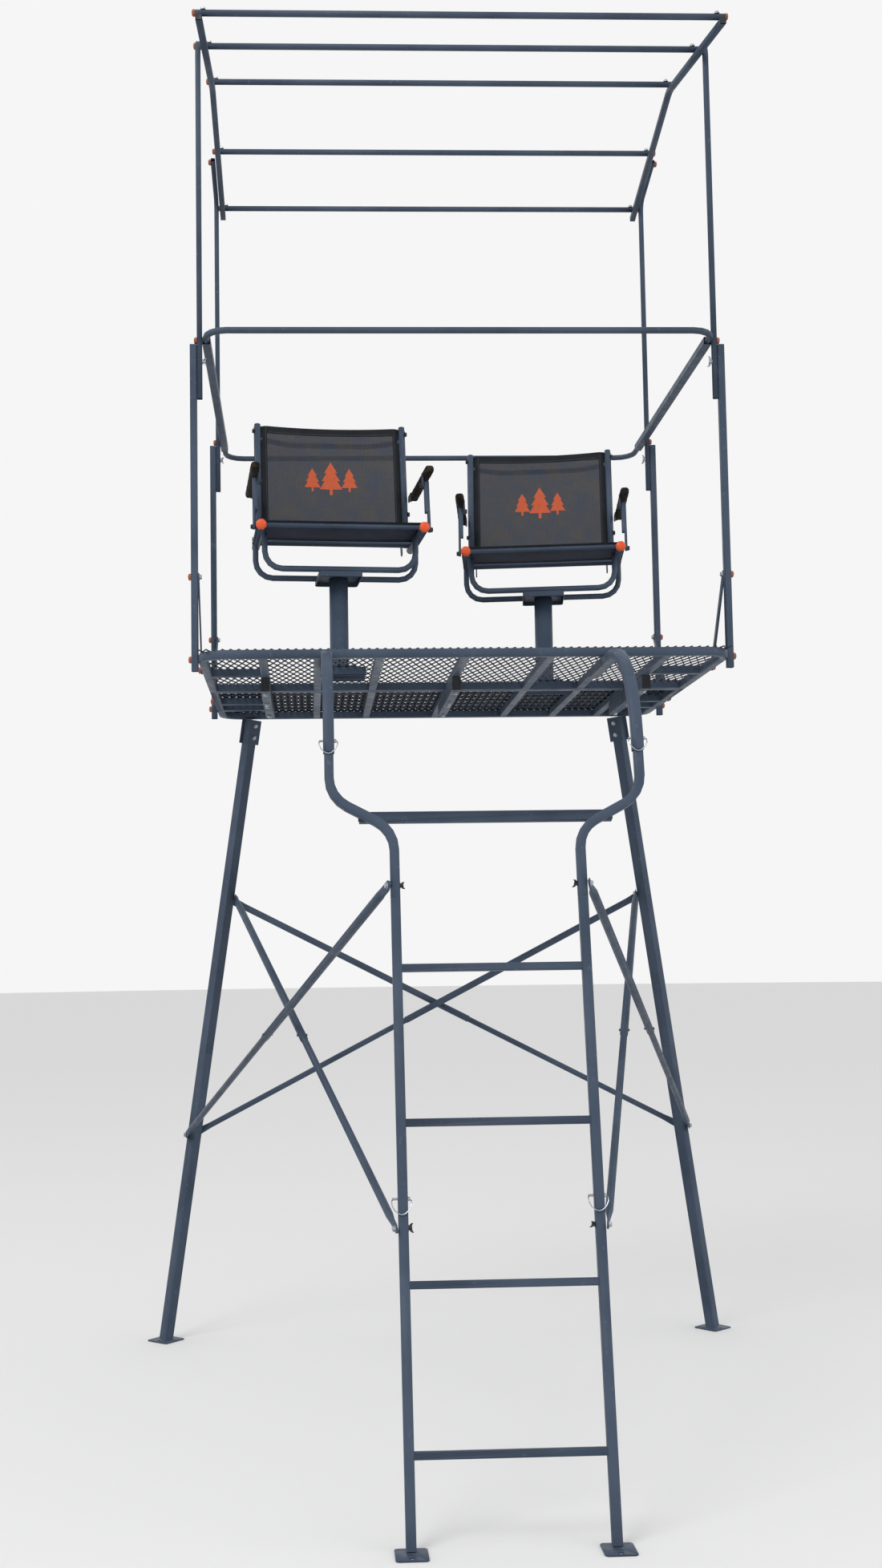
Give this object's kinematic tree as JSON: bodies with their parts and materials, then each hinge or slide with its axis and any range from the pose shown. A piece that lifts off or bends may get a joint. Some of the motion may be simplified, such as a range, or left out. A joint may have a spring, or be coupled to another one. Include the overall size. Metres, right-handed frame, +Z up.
{
  "type": "ladder tree stand",
  "caption": "Free-standing hunting tower: ladder, braced rear legs, mesh platform, shooting rail, roof frame and folding swivel sling chairs.",
  "frame": {"origin": "on the ground, at the centre of the tower's footprint box", "axes": "+X to the right as seen from the ladder side, +Y from the ladder towards the rear legs, +Z up"},
  "size_m": [2.1892, 2.4166, 4.3525],
  "materials": {
    "powder_coat": "satin textured powder coat, slate grey",
    "deck_mesh": "satin powder coat on raised expanded steel mesh",
    "sling_fabric": "open-weave coated sling fabric",
    "arm_padding": "dark padded sleeve over a steel arm"
  },
  "bodies": {
    "tower": {"ladder_lower_section": "powder_coat", "ladder_middle_section": "powder_coat", "ladder_flare_section": "powder_coat", "ladder_upper_leg_left": "powder_coat", "ladder_upper_leg_right": "powder_coat", "rear_leg_lower_left": "powder_coat", "rear_leg_upper_left": "powder_coat", "rear_leg_lower_right": "powder_coat", "rear_leg_upper_right": "powder_coat", "rear_brace_high_left": "powder_coat", "side_brace_leg_high_left": "powder_coat", "side_brace_ladder_high_left": "powder_coat", "rear_brace_high_right": "powder_coat", "side_brace_leg_high_right": "powder_coat", "side_brace_ladder_high_right": "powder_coat", "platform_front_frame": "powder_coat", "platform_rear_frame": "powder_coat", "deck_front": "deck_mesh", "deck_rear": "deck_mesh", "splice_beam_left": "powder_coat", "splice_beam_middle": "powder_coat", "splice_beam_right": "powder_coat", "post_lower_front_left": "powder_coat", "post_upper_front_left": "powder_coat", "post_lower_front_right": "powder_coat", "post_upper_front_right": "powder_coat", "post_lower_rear_left": "powder_coat", "post_upper_rear_left": "powder_coat", "post_lower_rear_right": "powder_coat", "post_upper_rear_right": "powder_coat", "rail_front": "powder_coat", "rail_rear": "powder_coat", "rail_side_left": "powder_coat", "rail_side_right": "powder_coat", "roof_rail_left": "powder_coat", "roof_rail_right": "powder_coat", "roof_bar_1": "powder_coat", "roof_bar_2": "powder_coat", "roof_bar_3": "powder_coat", "roof_bar_4": "powder_coat", "roof_bar_5": "powder_coat", "left_seat_post": "powder_coat", "right_seat_post": "powder_coat"},
    "left_seat": {"left_seat_base": "powder_coat", "left_seat_sling": "sling_fabric"},
    "left_back": {"left_back_frame": "powder_coat", "left_back_sling": "sling_fabric"},
    "left_arms": {"left_armrest_left": "arm_padding", "left_armrest_right": "arm_padding"},
    "left_struts": {"left_arm_strut_left": "powder_coat", "left_arm_strut_right": "powder_coat"},
    "right_seat": {"right_seat_base": "powder_coat", "right_seat_sling": "sling_fabric"},
    "right_back": {"right_back_frame": "powder_coat", "right_back_sling": "sling_fabric"},
    "right_arms": {"right_armrest_left": "arm_padding", "right_armrest_right": "arm_padding"},
    "right_struts": {"right_arm_strut_left": "powder_coat", "right_arm_strut_right": "powder_coat"}
  },
  "joints": [
    {"name": "left_seat_swivel", "type": "hinge", "parent": "tower", "child": "left_seat", "pos_m": [-0.371, 0.02471, 2.6215], "axis": [0, 0, 1], "continuous": true},
    {"name": "left_back_fold", "type": "hinge", "parent": "left_seat", "child": "left_back", "pos_m": [-0.38538, 0.18908, 2.7935], "axis": [0.9962, 0.0872, 0], "range_deg": [0, 86]},
    {"name": "left_arm_level", "type": "hinge", "parent": "left_back", "child": "left_arms", "pos_m": [-0.3872, 0.20988, 2.94204], "axis": [0.9962, 0.0872, 0], "range_deg": [-86, 0]},
    {"name": "left_strut_lean", "type": "hinge", "parent": "left_seat", "child": "left_struts", "pos_m": [-0.35967, -0.1048, 2.7595], "axis": [0.9962, 0.0872, 0], "range_deg": [0, 86]},
    {"name": "right_seat_swivel", "type": "hinge", "parent": "tower", "child": "right_seat", "pos_m": [0.331, 0.33971, 2.6215], "axis": [0, 0, 1], "continuous": true},
    {"name": "right_back_fold", "type": "hinge", "parent": "right_seat", "child": "right_back", "pos_m": [0.35111, 0.50348, 2.7935], "axis": [0.9925, -0.1219, 0], "range_deg": [0, 86]},
    {"name": "right_arm_level", "type": "hinge", "parent": "right_back", "child": "right_arms", "pos_m": [0.35365, 0.5242, 2.94204], "axis": [0.9925, -0.1219, 0], "range_deg": [-86, 0]},
    {"name": "right_strut_lean", "type": "hinge", "parent": "right_seat", "child": "right_struts", "pos_m": [0.31516, 0.21068, 2.7595], "axis": [0.9925, -0.1219, 0], "range_deg": [0, 86]}
  ],
  "couplings": [
    {"joint": "left_arm_level", "follows": "left_back_fold", "ratio": -1},
    {"joint": "left_strut_lean", "follows": "left_back_fold", "ratio": 1},
    {"joint": "right_arm_level", "follows": "right_back_fold", "ratio": -1},
    {"joint": "right_strut_lean", "follows": "right_back_fold", "ratio": 1}
  ]
}
